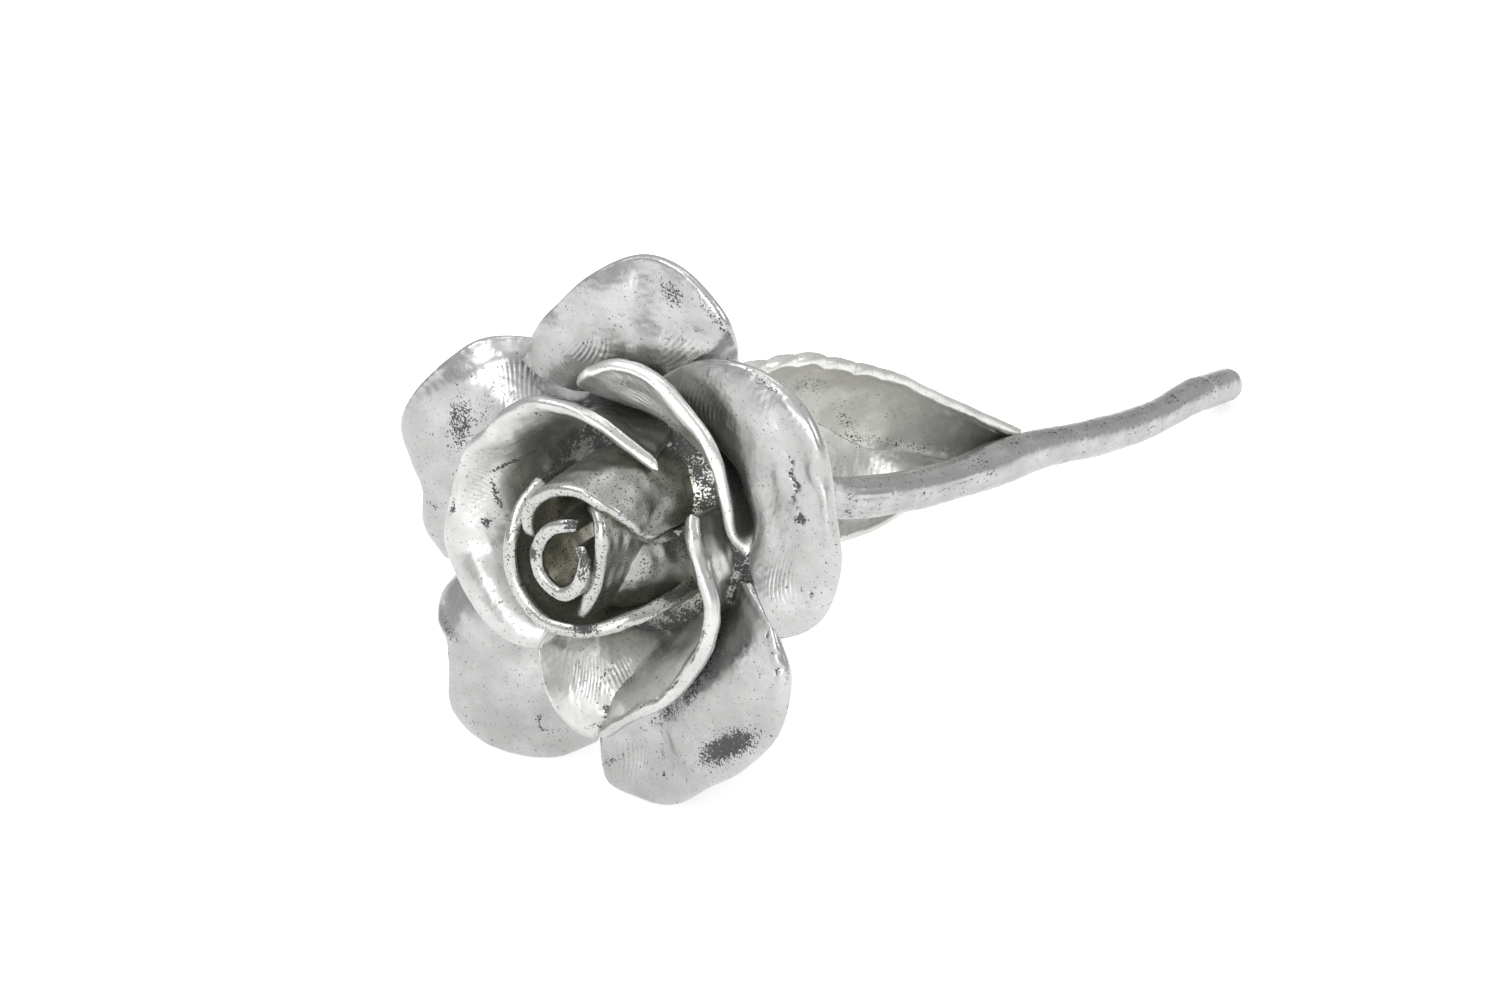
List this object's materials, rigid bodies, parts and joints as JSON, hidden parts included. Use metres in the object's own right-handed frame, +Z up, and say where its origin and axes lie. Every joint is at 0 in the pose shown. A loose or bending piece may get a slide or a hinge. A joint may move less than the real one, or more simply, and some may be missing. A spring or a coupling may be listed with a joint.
{
  "type": "ornamental rose",
  "caption": "Metal ornament in the shape of an open rose, with layered petals on a hub, a short curved stem and one cupped leaf, made to lie on a surface.",
  "frame": {"origin": "on the table under the middle of the rose's bounding box", "axes": "+Z up as it lies, -Y the way the flower faces, +Y along the stem to its free end, +X to the right as seen from the front of the flower"},
  "size_m": [0.0532, 0.1392, 0.0594],
  "materials": {
    "petals": "satin",
    "bud_core": "satin",
    "receptacle": "satin",
    "stem": "satin",
    "leaf": "satin"
  },
  "bodies": {
    "root": {"bud_core": "bud_core", "bud_petal_right": "petals", "bud_petal_top": "petals", "bud_petal_left": "petals", "inner_petal_left": "petals", "inner_petal_right": "petals", "inner_petal_lower": "petals", "outer_petal_top": "petals", "outer_petal_right": "petals", "outer_petal_lower_right": "petals", "outer_petal_lower_left": "petals", "outer_petal_upper_left": "petals", "receptacle": "receptacle", "stem": "stem", "leaf": "leaf"}
  },
  "joints": []
}
